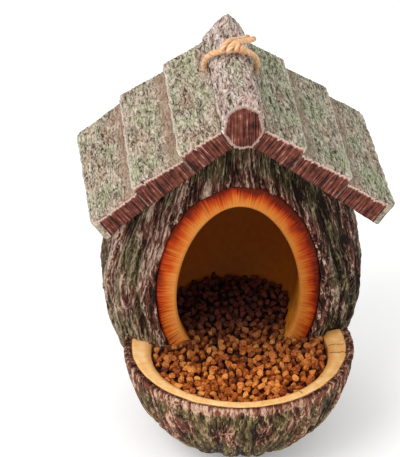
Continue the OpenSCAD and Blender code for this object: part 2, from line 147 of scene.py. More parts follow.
def path_sides(path):
    """Two side vectors at each point of a path, carried along it without twist."""
    ahead = unit(np.gradient(path, axis=0))
    side = np.cross(ahead[0], (0.0, 1.0, 0.2))
    first = []
    for direction in ahead:
        side = unit(side - direction * (side @ direction))
        first.append(side)
    first = np.array(first)
    return first, np.cross(ahead, first)


def twine(path, radius, start=0):
    """Points, faces and grain of a length of three-strand twine along a path, with rounded-off ends."""
    run = np.r_[0, np.cumsum(np.linalg.norm(np.diff(path, axis=0), axis=1))]
    across, up = path_sides(path)
    turn = full_turn(TWINE_AROUND)
    lie = turn - 2 * pi * run[:, None] / TWINE_LAY
    strand = 1 - TWINE_GROOVE + TWINE_GROOVE * sqrt(np.abs(cos(1.5 * lie)))
    end = np.minimum(run, run[-1] - run)[:, None]
    reach = radius * strand * sqrt(clamp(end / radius + 0.04))
    outward = cos(turn)[:, None] * across[:, None] + sin(turn)[:, None] * up[:, None]
    points = path[:, None] + reach[..., None] * outward
    grain = on_circle(lie, radius, run[:, None])
    last = start + (len(path) - 1) * TWINE_AROUND
    faces = sheet_faces(len(path), TWINE_AROUND, start, closed=True)
    ring = list(range(TWINE_AROUND))
    faces += [[start + i for i in ring[::-1]], [last + i for i in ring]]
    return points.reshape(-1, 3), faces, grain.reshape(-1, 3)


def colour(value):
    """Shader colour of a level of grey, or of a screen colour in numbers up to 255. A tint is kept."""
    if np.size(value) == 1:
        return (value, value, value, 1)
    if len(value) == 4:
        return value
    part = np.array(value) / 255
    return (*np.where(part < 0.04045, part / 12.92, ((part + 0.055) / 1.055) ** 2.4), 1)


def node(tree, kind, out=0, setup=None, **inputs):
    """Adds a shader node and returns one of its outputs. An input named n6 is the one numbered 6."""
    made = tree.nodes.new("ShaderNode" + kind)
    for name, value in (setup or {}).items():
        setattr(made, name, value)
    for name, value in inputs.items():
        socket = made.inputs[int(name[1:]) if name[1:].isdigit() else name]
        if isinstance(value, bpy.types.NodeSocket):
            tree.links.new(value, socket)
        else:
            socket.default_value = colour(value) if socket.type == "RGBA" else value
    return made.outputs[out]


def ramp(tree, factor, *stops):
    """Colour that runs through the stops, each a place from 0 to 1 and a colour."""
    out = node(tree, "ValToRGB", n0=factor)
    steps = out.node.color_ramp.elements
    while len(steps) < len(stops):
        steps.new(0.5)
    for step, (place, shade) in zip(steps, stops):
        step.position, step.color = place, colour(shade)
    return out


def mixed(tree, factor, first, second, how="MIX"):
    return node(tree, "Mix", 2, {"data_type": "RGBA", "blend_type": how}, n0=factor, n6=first, n7=second)


def maths(tree, how, first, second=0.0, third=0.0):
    return node(tree, "Math", 0, {"operation": how}, n0=first, n1=second, n2=third)


def added(tree, level, *patterns):
    """The level, with patterns added by their strengths. Each pattern lies about its middle, 0.5."""
    for pattern, strength in patterns:
        level = maths(tree, "MULTIPLY_ADD", maths(tree, "SUBTRACT", pattern, 0.5), strength, level)
    return level


def marked(tree, mark, vector=False):
    return node(tree, "Attribute", 1 if vector else 2, {"attribute_name": mark})


def speckle(tree, stretch, detail=2.0, rough=0.5, where=None):
    """Random pattern from 0 to 1 with cells of the given size along each axis, in metres. It follows the
    grain that is marked on the piece, unless it is told where."""
    if where is None:
        where = marked(tree, "grain", True)
    placed = node(tree, "VectorMath", 0, {"operation": "DIVIDE"}, n0=where, n1=stretch)
    return node(tree, "TexNoise", 0, Vector=placed, Scale=1.0, Detail=detail, Roughness=rough)


def paint(name, roughness, specular=0.5):
    """New material, with its node tree and its shader."""
    material = bpy.data.materials.new(name)
    material.use_nodes = True
    tree = material.node_tree
    shader = tree.nodes["Principled BSDF"]
    shader.inputs["Roughness"].default_value = roughness
    shader.inputs["Specular IOR Level"].default_value = specular
    return material, tree, shader


def finish_paint(tree, shader, shade, height, depth):
    """Gives the shader its colour, and bumps of a depth in metres from a height."""
    tree.links.new(shade, shader.inputs["Base Color"])
    bump = node(tree, "Bump", 0, Strength=1.0, Distance=depth, Height=height)
    tree.links.new(bump, shader.inputs["Normal"])


jute, tree, shader = paint("jute", 0.85, 0.2)
shader.inputs["Sheen Weight"].default_value = 0.25
shader.inputs["Sheen Roughness"].default_value = 0.5
fibres = speckle(tree, (0.0006, 0.0006, 0.006), 3)
blotches = speckle(tree, (0.003, 0.003, 0.009))
shade = ramp(tree, fibres, (0.3, (178, 122, 74)), (0.5, (230, 180, 130)), (0.7, (250, 216, 178)))
shade = mixed(tree, ramp(tree, blotches, (0.5, 0), (0.7, 0.7)), shade, (196, 128, 80))
finish_paint(tree, shader, shade, fibres, 0.0004)

over_path = smooth_path(OVER_ROUTE)
points, faces, grain = twine(over_path, CORD_RADIUS)
hanging_cord = add_piece("hanging_cord_twine", points, faces, [jute], "cord", "hanging_cord", grain=grain)
points, faces, grain = twine(smooth_path(UNDER_ROUTE), CORD_RADIUS)
add_piece("cord_under_ridge_twine", points, faces, [jute], "cord", "cord_under_ridge", grain=grain)

# The knot's two ends leave it side by side, and one turn of the cord lies round them.
turn = np.linspace(-0.2 * pi, 2.3 * pi, 16)
wrap = WRAP_MIDDLE + WRAP_HALF * spots(turn / pi - 1, -cos(turn), sin(turn))
points, faces, grain = np.zeros((0, 3)), [], np.zeros((0, 3))
for route, radius in (
        (TAIL_ROUTE, TAIL_RADIUS), (TAIL_ROUTE + TAIL_STEP, TAIL_RADIUS), (wrap, WRAP_RADIUS)):
    more_points, more_faces, more_grain = twine(smooth_path(route), radius, len(points))
    points = np.vstack([points, more_points])
    faces += more_faces
    grain = np.vstack([grain, more_grain])
knot = add_piece("cord_knot_twine", points, faces, [jute], "cord", "cord_knot", grain=grain)

# The trunk is a casting of a hollow barked log: a belly that narrows to its foot and to the
# roof, with wavy ribs and finer ridges of bark, cut away in front round the doorway's ring.
BELLY_HALF, FOOT_HALF, NECK_HALF = 0.0805, 0.045, 0.053
BELLY_HEIGHT, TRUNK_TOP = 0.095, 0.2175
TRUNK_FRONT, TRUNK_BACK, TRUNK_POWER = 0.0515, 0.053, 2.6
TRUNK_SIDES, TRUNK_FURROW, RIB_WAVE = 56, 0.0024, 0.085
DOOR_HEIGHT, RING_HALF_W, RING_HALF_H, RING_DROOP = 0.1045, 0.0498, 0.071, 0.02
RING_FACE, RING_BACK = -0.043, -0.038
ROOF_APEX, ROOF_SLOPE, ROOF_GAP = 0.2155, np.radians(37), 0.0003
LOG_HEIGHT, LOG_HALF_W, LOG_HALF_H = 0.225, 0.013, 0.016
TRUNK_RIDGES, TRUNK_WILDNESS, RIDGE_SIZE = 84, 0.6, (0.012, 0.03)
TRUNK_COLOURS = (26, 13, 7), (106, 60, 45), (84, 72, 46), (168, 152, 120), (208, 180, 160)
trunk_columns, trunk_rows = 600, 172


def noise(places, seed):
    """Smooth random value, about -0.7 to 0.7, of a field with one bump to each unit."""
    random = np.random.default_rng(seed)
    slopes = unit(random.normal(size=(256, 3)))
    order = random.permutation(256)
    cell = np.floor(places).astype(int)
    part = places - cell
    ease = part**3 * (part * (part * 6 - 15) + 10)
    total = 0
    for corner in np.ndindex(2, 2, 2):
        pick = 0
        for axis in range(3):
            pick = order[(pick + cell[..., axis] + corner[axis]) & 255]
        share = np.prod(np.where(corner, ease, 1 - ease), axis=-1)
        total = total + share * np.sum(slopes[pick] * (part - corner), axis=-1)
    return total


def fade(value, low, high):
    """Share from 0 at the low value to 1 at the high one."""
    share = clamp((value - low) / (high - low))
    return share * share * (3 - 2 * share)


def squared(share, power):
    """A cosine or sine that is bent by a power, which makes a round outline squarer."""
    return np.sign(share) * np.abs(share) ** power


# From one ridge of bark to the next: a pale crest, a crack beside it and a flatter plate.
BARK_STEPS = ((0.0, 1.0), (0.12, 0.62), (0.22, 0.04), (0.36, 0.3), (0.8, 0.5), (1.0, 1.0))
BARK_PLATE = 0.25


def bark_ridges(start, grain, width, length, seed, wildness=1.0):
    """Wavy field that grows by 1 from each ridge of bark to the next, along the grain's third axis."""
    place = grain / (width, width, length)
    waves = 3.1 * noise(place, seed) + 1.5 * noise(place * (2.2, 2.2, 2) + 11, seed + 4)
    return start + wildness * (waves + 0.5 * noise(place * (5, 5, 4.6) + 23, seed + 8))


def bark_height(ridges):
    """Height of bark from 0 in its cracks to 1 on its crests."""
    places, heights = zip(*BARK_STEPS)
    return np.interp(ridges % 1, places, heights)


def ridge_mark(ridges):
    """Points on a circle that stand for the place between two ridges."""
    return on_circle(2 * pi * ridges, 1, 0)


def furrow_depth(turn, z, sides, deepest):
    """Depth of the furrows between wavy ribs, of which there are half as many as sides: none on a rib."""
    place = turn * sides / (2 * pi)
    rib = place
    for _ in range(30):
        rib = place - 0.6 * sin(2 * pi * (z / RIB_WAVE + 7 * rib / sides))
    furrow = 2 * np.floor(rib / 2) + 1
    share = (1 + cos(pi * (rib - furrow))) / 2
    return deepest * share * (0.75 - 0.25 * sin(4 * pi * (z / RIB_WAVE + 7 * furrow / sides)))


def trunk_half(z):
    """Half width of the trunk's bark at a height."""
    below = FOOT_HALF + (BELLY_HALF - FOOT_HALF) * cos(pi / 2 * (1 - z / BELLY_HEIGHT))
    rise = (z - BELLY_HEIGHT) / (TRUNK_TOP - BELLY_HEIGHT)
    above = NECK_HALF + (BELLY_HALF - NECK_HALF) * (1 + cos(pi * rise)) / 2
    return np.where(z < BELLY_HEIGHT, below, above)


def trunk_front(x, z):
    """How far in front of its middle the trunk's bark lies."""
    half = trunk_half(z)
    share = clamp(np.abs(x) / half)
    return -TRUNK_FRONT * sqrt(half / BELLY_HALF) * (1 - share**TRUNK_POWER) ** (1 / TRUNK_POWER)


def egg(turn, half_w, half_h, droop):
    """Outline of the doorway or its ring, which is wider below its middle."""
    return spots(half_w * cos(turn) * (1 - droop * sin(turn)), half_h * sin(turn))


def ridge_level(tree, wobble, steps):
    """Height of bark from 0 to 1 by the ridge marked on the points, after it is shifted by a wobble."""
    circle = node(tree, "SeparateXYZ", 0, n0=marked(tree, "ridge", True))
    place = maths(tree, "ARCTAN2", circle.node.outputs[1], circle)
    place = maths(tree, "MULTIPLY_ADD", place, 1 / (2 * pi), wobble)
    return ramp(tree, maths(tree, "FLOORED_MODULO", place, 1.0), *steps)


def bark_paint(name, colours, plate, flaking, veining):
    """Paint of barked resin: dark wash in the cracks, brown or green on the plates, and dry brushing on
    the crests, in some patches paler. Veins outline plates of a size in metres."""
    cracks, brown, green, crests, pale_crests = colours
    material, tree, shader = paint(name, 0.65, 0.15)
    flakes = speckle(tree, (0.0026, 0.0026, 0.0105), 3, 0.6)
    strokes = speckle(tree, (0.0009, 0.0009, 0.0036), 3, 0.6)
    veins = speckle(tree, (plate, plate, 3 * plate), 3, 0.6)
    patches = speckle(tree, (0.007, 0.007, 0.02), 2)
    weather = speckle(tree, (0.015, 0.015, 0.034), 2)
    level = ridge_level(tree, added(tree, 0.0, (flakes, 1.4)), BARK_STEPS)
    level = maths(tree, "MULTIPLY_ADD", level, 0.62, 0.15)
    # The dark mark darkens the bark: by the dark wash in its furrows, and by painted shade and painted
    # light from side to side.
    level = maths(tree, "MULTIPLY_ADD", marked(tree, "dark"), -0.38, level)
    level = added(tree, level, (flakes, flaking), (strokes, 1.5), (weather, 0.7))
    vein = ramp(tree, veins, (0.478, 0), (0.5, 1), (0.522, 0))
    level = maths(tree, "MULTIPLY_ADD", vein, maths(tree, "ADD", weather, veining), level)
    redness = added(tree, marked(tree, "red"), (patches, 1.4))
    body = mixed(tree, ramp(tree, redness, (0.35, 0), (0.65, 1)), green, brown)
    shade = mixed(tree, ramp(tree, level, (0.1, 0), (0.4, 1)), cracks, body)
    tips = mixed(tree, ramp(tree, redness, (0.35, 0), (0.6, 1)), crests, pale_crests)
    shade = mixed(tree, ramp(tree, level, (0.5, 0), (0.95, 1)), shade, tips)
    finish_paint(tree, shader, shade, level, 0.0013)
    return material


# Columns lie evenly round the trunk, and closer together in front.
fine_turn = np.linspace(0, 2 * pi, 8001)
plan_x = BELLY_HALF * squared(cos(fine_turn), 2 / TRUNK_POWER)
plan_y = squared(sin(fine_turn), 2 / TRUNK_POWER)
plan_y *= np.where(sin(fine_turn) < 0, TRUNK_FRONT, TRUNK_BACK)
lengths = hypot(np.diff(plan_x), np.diff(plan_y))
steps = lengths * np.where(plan_y[1:] < 0, 1.5, 1)
run = np.r_[0, np.cumsum(steps)] / steps.sum()
turn = np.interp(np.arange(trunk_columns) / trunk_columns, run, fine_turn)
arc = np.r_[0, np.cumsum(lengths)]
around = np.interp(turn, fine_turn, arc / arc[-1]) * 2 * pi
share_x = squared(cos(turn), 2 / TRUNK_POWER)
share_y = squared(sin(turn), 2 / TRUNK_POWER)
# Each column ends just under the roof's boards or the ridge log.
top = np.full(trunk_columns, 0.17)
for _ in range(60):
    x = np.abs(share_x) * trunk_half(top)
    under_slope = ROOF_APEX - x * np.tan(ROOF_SLOPE)
    under_log = LOG_HEIGHT - LOG_HALF_H * sqrt(clamp(1 - (x / LOG_HALF_W) ** 2))
    top = (top + np.minimum(under_slope, np.where(x < LOG_HALF_W, under_log, 1)) - ROOF_GAP) / 2
z = np.linspace(0, 1, trunk_rows)[:, None] * top
half = trunk_half(z)
furrow = furrow_depth(turn, z, TRUNK_SIDES, TRUNK_FURROW)
x = (half - furrow) * share_x
y = (np.where(share_y < 0, TRUNK_FRONT, TRUNK_BACK) * sqrt(half / BELLY_HALF) - furrow) * share_y
radius = arc[-1] / 2 / pi
grain = on_circle(around, radius, z)
ridges = bark_ridges(TRUNK_RIDGES * around / (2 * pi), grain, *RIDGE_SIZE, 11, TRUNK_WILDNESS)
height = bark_height(ridges)
outward = unit(spots(x / BELLY_HALF**2, y / TRUNK_FRONT**2, 0))
lumps = noise(grain / (0.018, 0.018, 0.05), 19)
# How far each point lies outwards from the ring's outline, and its turn round the ring's middle.
ring_turn = np.arctan2((z - DOOR_HEIGHT) / RING_HALF_H, x / RING_HALF_W)
outline = egg(ring_turn, RING_HALF_W, RING_HALF_H, RING_DROOP)
off_ring = hypot(x, z - DOOR_HEIGHT) - hypot(outline[..., 0], outline[..., 1])
off_ring = np.where(y < 0, off_ring, 1)
near_ring = 1 - fade(off_ring, 0, 0.012)
swell = -0.0008 + 0.0016 * height + 0.0006 * lumps + 0.0005 * near_ring
swell *= fade(z, 0, 0.004) * 0.8 + 0.2
points = spots(x, y, z) + outward * swell[..., None]
inside = off_ring < 0.0003
keep = ~(inside[:-1] | inside[1:])
keep = keep & np.roll(keep, -1, axis=1)
faces = np.array(sheet_faces(trunk_rows, trunk_columns, closed=True))[keep.ravel()]
# The bark's edge round the ring is drawn to the ring's outline and folded in behind its face.
flat = points.reshape(-1, 3)
uses = np.bincount(faces.ravel(), minlength=len(flat))
edge = (uses > 0) & (uses < 4) & (off_ring.ravel() < 0.004)
edge_turn = ring_turn.ravel()[edge]
wander = 0.0004 + 0.0005 * np.abs(noise(on_circle(edge_turn, 9, 0), 23))
outline = egg(edge_turn, RING_HALF_W + wander, RING_HALF_H + wander, RING_DROOP)
flat[edge, 0] = outline[:, 0]
flat[edge, 2] = DOOR_HEIGHT + outline[:, 1]
sides = np.concatenate([faces[:, [0, 1]], faces[:, [1, 2]], faces[:, [2, 3]], faces[:, [3, 0]]])
known = set(map(tuple, sides.tolist()))
hem = [(a, b) for a, b in known if edge[a] and edge[b] and (b, a) not in known]
hem_points = sorted({a for side in hem for a in side})
folded = {old: len(flat) + i for i, old in enumerate(hem_points)}
fold = flat[hem_points].copy()
fold[:, 1] = RING_BACK
fold[:, [0, 2]] += 0.0002 * np.sign(fold[:, [0, 2]] - (0, DOOR_HEIGHT))
faces = faces.tolist() + [[b, a, folded[a], folded[b]] for a, b in hem]
# The foot is closed flat, and the top edge turns in under the roof.
foot_start = len(flat) + len(fold)
foot = np.vstack([flat[:trunk_columns] * (share, share, 1) for share in (0.97, 0.8, 0.5, 0.02)])
foot[:, 2] = np.repeat((0.0, 0.0006, 0.0006, 0.0006), trunk_columns)
faces += sheet_faces(4, trunk_columns, foot_start, closed=True, flipped=True)
ring = np.arange(trunk_columns)
following = (ring + 1) % trunk_columns
faces += spots(following, ring, foot_start + ring, foot_start + following).tolist()
faces.append((foot_start + 3 * trunk_columns + ring)[::-1].tolist())
last = (trunk_rows - 1) * trunk_columns
top_start = foot_start + len(foot)
top_ring = flat[last:last + trunk_columns] * (0.93, 0.93, 1)
faces += spots(last + ring, last + following, top_start + following, top_start + ring).tolist()
every = np.vstack([flat, fold, foot, top_ring])
plain = np.ones(len(foot) + len(top_ring))
red = 0.42 + 0.9 * noise(grain / (0.018, 0.018, 0.04), 29) + 0.7 * near_ring
# Besides the furrows' dark wash, the trunk's front is painted darker towards its right (painted shade) and
# paler towards its left (painted light).
dark = furrow / TRUNK_FURROW + 0.45 * np.clip(x / 0.06, -1, 0.6) * (y < 0)
all_ridges = np.r_[ridges.ravel(), ridges.ravel()[hem_points], BARK_PLATE * plain]
flat_grain = grain.reshape(-1, 3)
all_marks = {"grain": np.vstack([flat_grain, flat_grain[hem_points], every[foot_start:]]),
             "ridge": ridge_mark(all_ridges),
             "red": np.r_[red.ravel(), np.full(len(fold), 0.9), 0.4 * plain],
             "dark": np.r_[dark.ravel(), np.zeros(len(fold) + len(plain))]}
used = np.unique(np.concatenate([np.ravel(f) for f in faces]))
renumber = np.full(len(every), -1)
renumber[used] = np.arange(len(used))
add_piece(
    "trunk_bark", every[used], [renumber[f].tolist() for f in faces],
    [bark_paint("trunk bark paint", TRUNK_COLOURS, 0.0065, 1.4, 0.15)], "trunk_bark", "trunk",
    **{mark: values[used] for mark, values in all_marks.items()})

# The bowl's outside is bark too, cast in wide ribs that run down from its rim. Its bark ends
# at the rim in a worn red-brown lip, and its back lies against the trunk.
BOWL_RADIUS, BOWL_FRONT, BOWL_MIDDLE, RIM_HEIGHT = 0.0705, -0.047, 0.0695, 0.067
BOWL_SIDES, BOWL_FURROW, BOWL_BURIED, BOWL_SUNK = 48, 0.0022, 0.0035, 0.0007
BOWL_RIDGES, BOWL_WILDNESS, LIP_BEVEL = 64, 0.5, 0.0012
BOWL_COLOURS = (30, 16, 9), (126, 66, 46), (88, 70, 38), (168, 146, 104), (222, 182, 154)
bowl_columns, bowl_rows = 420, 150


def bowl_start(radius, z):
    """Turn at which a circle round the bowl's middle leaves the trunk's bark."""
    low, high = np.full_like(radius, -pi / 2), np.full_like(radius, pi / 2)
    for _ in range(40):
        middle = (low + high) / 2
        bark = trunk_front(radius * cos(middle), z)
        buried = BOWL_FRONT - radius * sin(middle) > bark + BOWL_BURIED
        low, high = np.where(buried, middle, low), np.where(buried, high, middle)
    return low


def lip_width(turn):
    """Width of the bark's lip on the rim, which is wider at the bowl's sides."""
    wander = noise(on_circle(turn, 7, 0), 45)
    return 0.0036 + 0.0018 * cos(turn) ** 2 + 0.0007 * wander


# The first three rows are the lip on top of the rim, and the last three close the foot.
rim_sink = np.arcsin(1 - RIM_HEIGHT / BOWL_MIDDLE)
sink = np.linspace(rim_sink, np.arcsin(BOWL_MIDDLE / BOWL_RADIUS), bowl_rows)
rim_radius = BOWL_RADIUS * cos(rim_sink)
radius = BOWL_RADIUS * cos(sink)
radius = np.r_[rim_radius, rim_radius, rim_radius - LIP_BEVEL,
               radius, radius[-1] * np.array((0.75, 0.4, 0.02))]
z = np.r_[RIM_HEIGHT - 0.006, RIM_HEIGHT - 0.0006, RIM_HEIGHT,
          BOWL_MIDDLE - BOWL_SUNK - BOWL_RADIUS * sin(sink), 0, 0, 0]
z = np.maximum(z, 0)
begin = bowl_start(radius, z)[:, None]
turn = begin + np.linspace(0, 1, bowl_columns) * (pi - 2 * begin)
tilt = np.r_[[rim_sink] * 3, sink, [sink[-1]] * 3][:, None]
down = (tilt - rim_sink) * BOWL_RADIUS
grain = on_circle(turn, 0.06, down)
grain[:2, :, 2] = -0.02
furrow = furrow_depth(-turn, BOWL_MIDDLE - BOWL_RADIUS * sin(tilt), BOWL_SIDES, BOWL_FURROW)
furrow *= np.minimum(4 * down / down.max(), 1) * (1 - 0.5 * fade(down / down.max(), 0.7, 1))
ridges = bark_ridges(BOWL_RIDGES * turn / (2 * pi), grain, *RIDGE_SIZE, 41, BOWL_WILDNESS)
lip = 1 - fade(down - 0.003 * noise(grain / (0.01, 0.01, 10), 49), 0.002, 0.0065)
lumps = noise(grain / (0.014, 0.014, 0.03), 43)
swell = (-0.0014 + 0.0018 * bark_height(ridges) + 0.0006 * np.minimum(lumps, 0.2)) * (1 - 0.6 * lip)
swell = np.minimum(swell, 0) - furrow
swell[:3] = swell[-3:] = 0
swell = swell - 0.0009 * lip * np.abs(noise(grain / 0.004, 47))
reach = radius[:, None] + swell * cos(tilt)
reach[:2] -= lip_width(turn[:2])
x = reach * cos(turn)
y = BOWL_FRONT - reach * sin(turn)
z = np.maximum(z[:, None] - swell * sin(tilt), 0)
red = 0.5 + 0.9 * noise(grain / (0.017, 0.017, 0.03), 53) + 1.0 * lip - 0.3 * fade(down, 0.02, 0.05)
lip_dark = lip * (0.3 - 0.8 * fade(sin(turn), 0.55, 0.9))
# Besides the furrows' wash and the lip, the bowl's left is painted paler as painted light.
dark = furrow / BOWL_FURROW + lip_dark + 0.25 * np.clip(x / 0.06, -1, 0)
dark[:3] = 0.45 - 0.2 * fade(sin(turn[:3]), 0.6, 0.95)
add_piece(
    "bowl_bark", spots(x, y, z), sheet_faces(len(radius), bowl_columns, flipped=True),
    [bark_paint("bowl bark paint", BOWL_COLOURS, 0.008, 1.2, 0.2)], "trunk_bark", "bowl_shell",
    grain=grain, ridge=ridge_mark(ridges), red=red, dark=dark)

# Inside, the bowl is painted as pale cut wood: a wide level rim, a little worn at its edges,
# with small cracks, and the hollow that the feed lies in.
HOLLOW_RADIUS, HOLLOW_FRONT, HOLLOW_DEPTH, RIM_MIDDLE = 0.054, -0.053, 0.02, -0.05
# Each crack has its turn round the rim, the share of the rim where it starts and its width.
RIM_CRACKS = ((0.02, 0.1, 1), (0.17, 0.0, 1.2), (1.02, 0.35, 1), (2.2, 0.5, 0.6), (0.66, 0.6, 0.6))
CRACK_WIDTH, CRACK_DEPTH, RIM_START, RIM_SWEEP = 0.006, 0.0006, np.radians(-16), np.radians(212)
rim_columns = 360

pale, tree, shader = paint("pale wood paint", 0.5, 0.2)
streaks = speckle(tree, (0.0009, 0.01, 0.012), 3)
mottle = speckle(tree, (0.007, 0.01, 0.008), 2)
shade = ramp(tree, mottle, (0.3, (238, 180, 105)), (0.55, (248, 203, 139)), (0.75, (252, 222, 168)))
across = marked(tree, "across")
# The last tint, darker orange on the inner slope and the hollow's wall, is partly the wood's own colour
# and partly painted shade.
for factor, tint in ((ramp(tree, streaks, (0.3, 0.5), (0.5, 0)), (222, 150, 76)),
                     (ramp(tree, across, (0.0, 0.6), (0.09, 0)), (196, 104, 48)),
                     (ramp(tree, across, (0.55, 0), (1.0, 0.7)), (214, 142, 66))):
    shade = mixed(tree, factor, shade, tint)
# Painted shade darkens the rim towards its right.
shade = mixed(tree, marked(tree, "stain"), shade, (0.74, 0.64, 0.5, 1), "MULTIPLY")
shade = mixed(tree, marked(tree, "crack"), shade, (84, 40, 14))
finish_paint(tree, shader, shade, streaks, 0.00012)

turn = RIM_START + np.linspace(0, 1, rim_columns) * RIM_SWEEP


def circle_reach(middle_y, radius):
    """Distance from the rim's own middle to a circle, in each direction."""
    offset = RIM_MIDDLE - middle_y
    along = -sin(turn) * offset
    return -along + sqrt(along**2 - offset**2 + radius**2)


outer = circle_reach(BOWL_FRONT, rim_radius - lip_width(turn) + 0.0004)
inner = circle_reach(HOLLOW_FRONT, HOLLOW_RADIUS)
across = np.r_[-0.06, 0, np.linspace(0.02, 0.98, 24), 1][:, None]
worn = 0.0005 * clamp(1 - across * 9) + 0.0016 * clamp(across * 2.5 - 1.5) ** 2
drop = np.vstack([[(0.004,), (0.0008,)], worn[2:-1], [(0.0018,)]])
wear = noise(on_circle(turn, 14, 0), 59)
reach = outer + (inner - outer) * across + (across > 0.9) * 0.0005 * wear
x = cos(turn) * reach
y = RIM_MIDDLE - sin(turn) * reach
z = RIM_HEIGHT - drop + 0.00035 * noise(spots(x, y, 0) / 0.009, 61)
wall_depth = np.linspace(0.0022, HOLLOW_DEPTH, 22)[:, None]
wall_reach = circle_reach(HOLLOW_FRONT, sqrt(HOLLOW_RADIUS**2 - wall_depth**2) - 0.0001)
wall = spots(cos(turn) * wall_reach, RIM_MIDDLE - sin(turn) * wall_reach, RIM_HEIGHT - wall_depth)
points = np.concatenate([spots(x, y, z), wall])
share = np.vstack([across, np.full(wall_depth.shape, 1.2)])
cracks = np.zeros(points.shape[:2])
random = np.random.default_rng(67)
for crack_turn, from_inner, width in RIM_CRACKS:
    bend = crack_turn + 0.012 * np.cumsum(random.normal(size=len(points)))[:, None] / 3
    near = np.exp(-((turn - bend) / (CRACK_WIDTH * width)) ** 2)
    cracks = np.maximum(cracks, near * ((share > from_inner) & (share < 0.98)))
points[..., 2] -= CRACK_DEPTH * cracks
deeper = np.vstack([across, np.linspace(1.05, 2, len(wall))[:, None]])
# The rim's right side is marked for painted shade.
add_piece(
    "bowl_rim_wood", points, sheet_faces(len(points), rim_columns), [pale], "pale_wood", "bowl_lining",
    crack=cracks, stain=fade(points[..., 0], 0.02, 0.08), across=np.repeat(share, rim_columns),
    grain=spots(turn * 0.06, points[..., 2] * 3, deeper * 0.012))

# A ring of cut wood is let into the trunk round the doorway. It is painted from red-orange at
# its bark side to yellow at the doorway, with dark strokes and fine cuts across it.
DOOR_HALF_W, DOOR_HALF_H, DOOR_DROOP = 0.0373, 0.056, 0.1
RING_ROUND, RING_WIDTH = 0.055, 0.013
ring_columns, ring_rows = 560, 40

cut_wood, tree, shader = paint("cut wood paint", 0.55, 0.08)
brushes = speckle(tree, (0.0010, 1, 0.014), 3)
blotches = speckle(tree, (0.012, 1, 0.01), 2)
lines = speckle(tree, (0.0007, 1, 0.03), 1)
# The red mark carries the ring's own red and also painted shade, towards the dark end of the ramp.
redness = added(tree, marked(tree, "red"), (brushes, 0.8), (blotches, 0.7))
shade = ramp(tree, redness, (0.05, (204, 132, 62)), (0.38, (202, 112, 42)), (0.6, (190, 78, 18)),
             (0.8, (162, 46, 8)), (0.98, (92, 24, 5)))
# Painted shade darkens the ring towards its right.
shade = mixed(tree, marked(tree, "stain"), shade, (0.72, 0.66, 0.5, 1), "MULTIPLY")
dark = maths(tree, "MULTIPLY", ramp(tree, lines, (0.39, 0.75), (0.46, 0)),
             maths(tree, "MULTIPLY_ADD", marked(tree, "across"), 0.9, 0.2))
shade = mixed(tree, dark, shade, (104, 34, 10))
finish_paint(tree, shader, shade, maths(tree, "ADD", brushes, marked(tree, "stroke")), 0.0003)

turn = full_turn(ring_columns)
inside_edge = egg(turn, DOOR_HALF_W, DOOR_HALF_H, DOOR_DROOP)
outside_edge = egg(turn, RING_HALF_W, RING_HALF_H, RING_DROOP)
across = np.linspace(0, 1, ring_rows)[:, None]
lap = turn * RING_ROUND
cuts = noise(spots(lap / 0.0011 + 0.9 * across, across * 1.2, 0), 71)
deep_cuts = noise(spots(lap / 0.0026 + 0.6 * across, across * 1.5, 5), 73)
y = RING_FACE + 0.0002 + 0.0017 * clamp(1 - across * 7) ** 2
y = y + 0.0012 * clamp(across * 7 - 6) ** 2 + 0.0003 * (0.5 - cuts) * fade(across, 0.1, 0.5)
y = y + 0.0007 * clamp(-deep_cuts - 0.12) * fade(across, 0.15, 0.6)
share = np.vstack([[(0,), (0,)], across, [(1,), (1,)]])
place = inside_edge + (outside_edge - inside_edge) * share[..., None]
# Its sleeve in the doorway and its band against the bark each run back in two steps.
y = np.vstack([np.full_like(y[:2], RING_BACK - 0.0001), y, np.full_like(y[:2], RING_BACK)])
y[1] = -0.04
y[-2] = -0.0402
points = spots(place[..., 0], y, DOOR_HEIGHT + place[..., 1])
stroke = np.vstack([0 * cuts[:2], cuts, cuts[-1:], cuts[-1:]])
# The ring is less red low down. It is painted redder and darker at its top under the roof and towards its
# right, as painted shade.
redder_and_shaded = (0.55 + 0.45 * fade(points[..., 2], 0.068, 0.1) + 0.2 * fade(points[..., 2], 0.13, 0.17)
          + 0.2 * np.clip(points[..., 0] / 0.04, -0.25, 1))
add_piece(
    "doorway_ring_wood", points, sheet_faces(len(points), ring_columns, closed=True, flipped=True),
    [cut_wood], "cut_wood", "doorway_ring", across=np.repeat(share, ring_columns), stroke=stroke,
    stain=fade(points[..., 0], 0, 0.045), red=share * redder_and_shaded, grain=spots(lap, 0, share * RING_WIDTH))

# Behind the ring the chamber is a smooth rounded pocket of painted wood, ochre near the doorway
# and darkened in its depth by painted shade.
CHAMBER_BACK, CHAMBER_ROUND, CHAMBER_FLARE, CHAMBER_WALL = 0.028, 0.032, 0.2, 0.0035
ROUND_START = CHAMBER_BACK - CHAMBER_ROUND
pocket_columns = 200


def chamber_share(y):
    """Share of the doorway's size that the chamber has at a depth."""
    flare = 1 + CHAMBER_FLARE * np.maximum(y - RING_BACK, 0) / (CHAMBER_BACK - RING_BACK)
    rounding = np.maximum(y - ROUND_START, 0) / CHAMBER_ROUND
    return flare * sqrt(clamp(1 - rounding**2))


ochre, tree, shader = paint("chamber paint", 0.6, 0.1)
where = node(tree, "TexCoord", 3)
figure = speckle(tree, (0.004, 0.02, 0.004), 4, where=where)
wash = speckle(tree, (0.02, 0.03, 0.02), 3, where=where)
shade = ramp(tree, figure, (0.3, (160, 92, 16)), (0.7, (200, 128, 38)))
# Painted shade: the wall darkens the deeper it lies in the chamber.
painted_depth_shade = maths(tree, "MULTIPLY", added(tree, marked(tree, "deep"), (wash, 0.02)), 14.0)
shade = mixed(tree, ramp(tree, painted_depth_shade, (0.05, 0), (0.5, 0.9)), shade, (118, 56, 8))
finish_paint(tree, shader, shade, figure, 0.0002)

